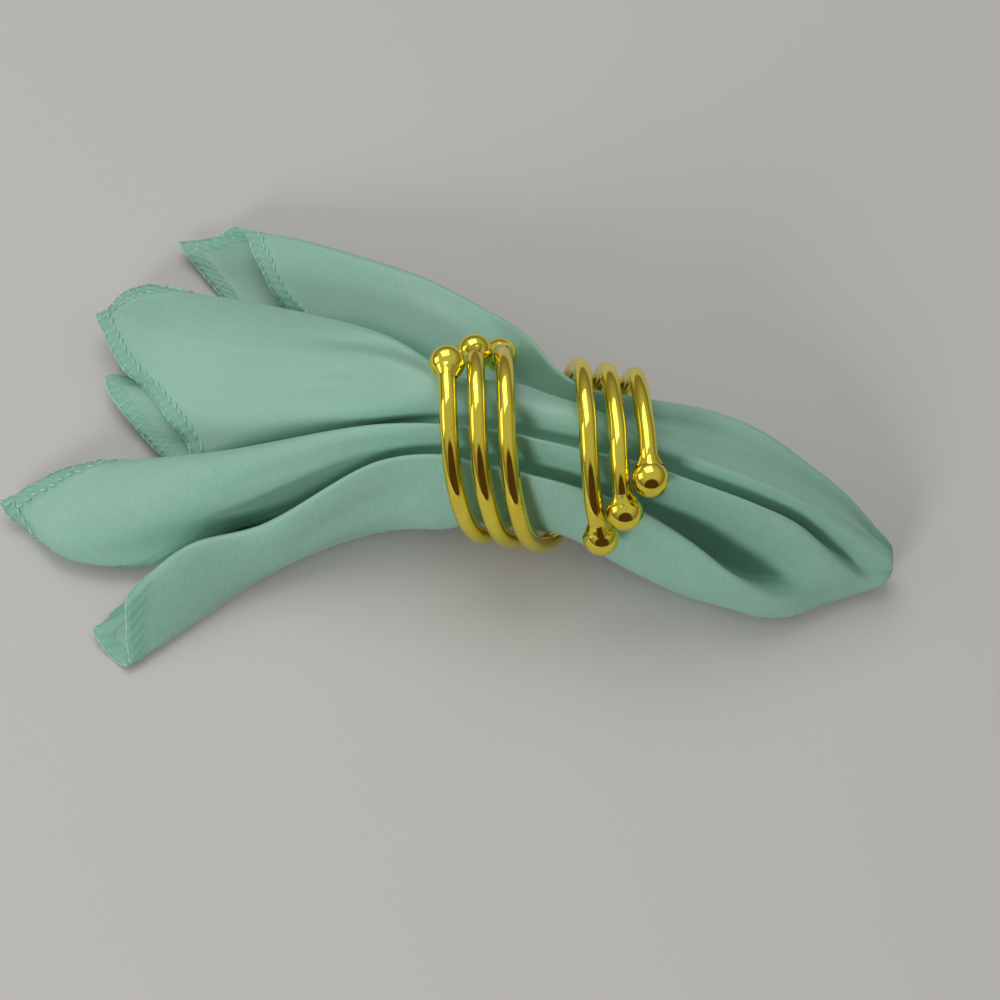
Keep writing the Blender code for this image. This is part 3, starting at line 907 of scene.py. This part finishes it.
def stitch_mesh():
    """All stitches as one mesh of two closed threads."""
    curve = tube_curve(roundness=1)
    wrap, wrap_radii, edging, edge_radii = [], [], [], []
    for stitch in range(stitch_count):
        shown = thread_share(stitch * pitch)
        stray = UNEVEN_STITCH * math.sin(stitch * 2.4)
        for share, inside, height, radius in STITCH:
            wrap.append(on_cloth((stitch + share) * pitch, inside + stray, height * shown))
            wrap_radii.append(radius * shown)
        for share, radius in EDGE_SWELLS:
            lift = UNEVEN_STITCH * math.sin(stitch * 1.7 + share * 4)
            edging.append(on_cloth((stitch + share) * pitch, -EDGE_THREAD, lift))
            edge_radii.append(radius * (EDGE_SHARE + (1 - EDGE_SHARE) * shown))
    add_tube(curve, wrap, wrap_radii, closed=True)
    add_tube(curve, edging, edge_radii, closed=True)
    return meshed(curve, "hem_stitches")


mesh = stitch_mesh()
mesh.shade_smooth()
stitches = add_object("hem_stitches", mesh)
print(stitch_count, "stitches,", len(mesh.polygons), "faces")

# %% [markdown]
# ## Satin
# Satin is smooth on its right side because its threads float over each other in one direction.
# It shows fine ribs, faint streaks along the threads and a broad soft gloss. The pattern is laid
# out on the flat square, so it turns with every fold. The hem's band has puckers that follow the
# stitches.

# %% satin
MINT = (0.250, 0.500, 0.395, 1)
MINT_PALE = (0.310, 0.555, 0.455, 1)
MINT_DEEP = (0.200, 0.470, 0.355, 1)
BAND_ENDS = (3.0, 3.7)    # mm from the edge, between which the hem's look fades out
FLOATS = (0.22, 2.1, 1)   # streaks in a mm, along and across the floating threads
CROSSING = (1.7, 0.5, 1)
CLOUDS = (0.03, 0.03, 1)

satin, shader, start = new_material("mint satin")
flat = start.node("ShaderNodeUVMap", {"uv_map": "flat_uv"}).stretched((SIDE, SIDE, 1))
floats = flat.stretched(FLOATS).noise(1.0, detail=3.0, roughness=0.65)
crossing = flat.stretched(CROSSING).noise(1.0)
cloudy = flat.stretched(CLOUDS).noise(1.0)
hem_distance = start.node("ShaderNodeAttribute", {"attribute_name": "hem"}, output="Fac")
hem_run = start.node("ShaderNodeAttribute", {"attribute_name": "run"}, output="Fac")
hem_band = 1 - hem_distance.between(*BAND_ENDS)
puckers = ((hem_run + hem_distance * 0.5) / pitch).wave()
tone = (floats * 0.5 + crossing * 0.2 + cloudy * 0.3).between(0.35, 0.65)
cloth_colour = tone.mix(MINT, MINT_PALE)
banded = (hem_band * (0.5 + puckers * 0.4)).mix(cloth_colour, MINT_DEEP)
height = floats * 0.9 + crossing * 0.3 + hem_band * puckers * 3.0
bump = start.node("ShaderNodeBump", inputs={"Strength": 0.45, "Distance": 0.00006, "Height": height})
connect(shader, Base_Color=banded, Roughness=0.34 + floats * 0.14 + hem_band * 0.12, Normal=bump)
shader.inputs["Specular IOR Level"].default_value = 0.75
shader.inputs["Sheen Weight"].default_value = 0.55
shader.inputs["Sheen Roughness"].default_value = 0.30
shader.inputs["Sheen Tint"].default_value = (0.85, 1.0, 0.93, 1)
cloth.data.materials.append(satin)
print("satin laid out on a square of", SIDE, "mm")

# %% thread
THREAD_DARK = (0.29, 0.59, 0.47, 1)
THREAD_PALE = (0.42, 0.71, 0.60, 1)
thread, shader, start = new_material("mint thread")
place = start.node("ShaderNodeTexCoord", output="Object")
twist = place.noise(900.0)
connect(shader, Base_Color=twist.between(0.35, 0.65).mix(THREAD_DARK, THREAD_PALE),
        Roughness=0.42 + twist * 0.2)
shader.inputs["Sheen Weight"].default_value = 0.3
stitches.data.materials.append(thread)
print("thread: paler than the cloth")

# %% [markdown]
# ## The ring
# Three wires are wound side by side, each one and a quarter turns, and a ball is soldered on
# every end. A wire is a bevelled curve through points that follow the winding. The solder makes
# a small fillet where the wire enters the ball, turned as a ring and left a bit uneven.

# %% wires
WIRE_POINT_STEP = 3.0     # degrees
WIRE_WAVES = ((0.05, 5, 1), (0.03, 11, 0))   # height in mm, waves in a turn, shift on each wire


def wire_direction(wire, angle):
    """The way a wire runs as its angle grows."""
    return (coil_point(wire, angle + 0.5) - coil_point(wire, angle - 0.5)).normalized()


def wire_mesh(wire):
    """One wire as a tube along its winding."""
    begin, end = wire_angles(wire)
    count = round(WIRE_SWEEP / WIRE_POINT_STEP) + 1
    points = []
    for index in range(count):
        angle = begin + (end - begin) * index / (count - 1)
        stray = sum(height * math.sin(math.radians(angle) * waves + wire * shift)
                    for height, waves, shift in WIRE_WAVES)
        points.append(placed(coil_point(wire, angle) + Vector((stray, 0, 0))))
    curve = tube_curve(roundness=9)
    curve.use_fill_caps = True
    add_tube(curve, points, [WIRE_RADIUS] * count, closed=False)
    return meshed(curve, f"ring_wire_{wire + 1}")


ring_pieces = []
for wire in range(WIRE_COUNT):
    mesh = wire_mesh(wire)
    mesh.shade_smooth()
    piece = add_object(f"ring_wire_{wire + 1}", mesh)
    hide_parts(f"wire_{wire + 1}")
    ring_pieces.append(piece)
print(WIRE_COUNT, "wires of", len(mesh.polygons), "faces")

# %% balls
# the solder fillet's profile: distance from the wire's axis, distance from the ball's middle
FILLET = ((2.85, 2.80), (2.66, 3.30), (2.46, 3.70), (2.28, 4.05), (2.12, 4.50), (1.94, 4.95))
FILLET_ANGLE = 6.0        # degrees into the wire, where its direction is read
LUMPS, SMALL_LUMPS = 0.06, 0.05   # how uneven the solder is, as shares of its radius


def ball_mesh(name, wire, angle, away):
    """A ball with its solder; away is 1 where the wire leaves it with growing angle, else -1."""
    middle = placed(coil_point(wire, angle))
    direction = wire_direction(wire, angle + away * FILLET_ANGLE) * away
    turn = Vector((0, 0, 1)).rotation_difference(direction).to_matrix().to_4x4()
    model = bmesh.new()
    profile = [model.verts.new(Vector((radius, 0, height)) * MM) for radius, height in FILLET]
    lines = [model.edges.new(pair) for pair in zip(profile, profile[1:])]
    bmesh.ops.spin(model, geom=lines + profile, cent=(0, 0, 0), axis=(0, 0, 1), angle=math.tau,
                   steps=28, use_merge=True)
    for vert in model.verts:
        spin = math.atan2(vert.co.y, vert.co.x)
        uneven = 1 + LUMPS * math.sin(3 * spin + wire * 2 + away)
        uneven += SMALL_LUMPS * math.sin(5 * spin + wire)
        vert.co.x *= uneven
        vert.co.y *= uneven
    bmesh.ops.recalc_face_normals(model, faces=model.faces)
    bmesh.ops.create_uvsphere(model, u_segments=48, v_segments=28, radius=BALL_RADIUS * MM)
    bmesh.ops.transform(model, matrix=Matrix.Translation(middle) @ turn, verts=model.verts)
    mesh = bpy.data.meshes.new(name)
    model.to_mesh(mesh)
    model.free()
    return mesh


for wire in range(WIRE_COUNT):
    for end, angle, away in zip(("left", "right"), wire_angles(wire), (1, -1)):
        name = f"ring_ball_{wire + 1}_{end}"
        mesh = ball_mesh(name, wire, angle, away)
        mesh.shade_smooth()
        piece = add_object(name, mesh)
        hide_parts(f"ball_{wire + 1}_{end}")
        ring_pieces.append(piece)
print(len(ring_pieces) - WIRE_COUNT, "balls of", len(mesh.polygons), "faces")

# %% [markdown]
# ## Gold plating
# The wire is steel with a bright yellow plating. It is a mirror with slight waves from the drawing and
# polishing, some fine scratches, and darker spots here and there.

# %% gold
GOLD = (0.97, 0.83, 0.105, 1)
GOLD_WARM = (0.88, 0.68, 0.070, 1)
gold, shader, start = new_material("polished gold")
place = start.node("ShaderNodeTexCoord", output="Object")
drawn = place.noise(160.0)
fine = place.noise(1400.0)
spots = place.noise(420.0, detail=3.0).between(0.60, 0.75)
height = drawn + fine * 0.04
bump = start.node("ShaderNodeBump", inputs={"Strength": 0.35, "Distance": 0.0002, "Height": height})
connect(shader, Base_Color=(drawn.between(0.35, 0.65) * 0.5 + spots * 0.4).mix(GOLD, GOLD_WARM),
        Roughness=0.05 + fine * 0.05 + spots * 0.12, Normal=bump)
shader.inputs["Metallic"].default_value = 1.0
for piece in ring_pieces:
    piece.data.materials.append(gold)
print("gold on", len(ring_pieces), "pieces")

# %% [markdown]
# ## One body for every piece
# Everything rests together, so every piece rides on the one body, and the imported cloth is hidden.

# %% bodies
for piece in ring_pieces:
    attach(piece, "root")
for piece in (cloth, stitches):
    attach(piece, "root")
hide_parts("napkin")
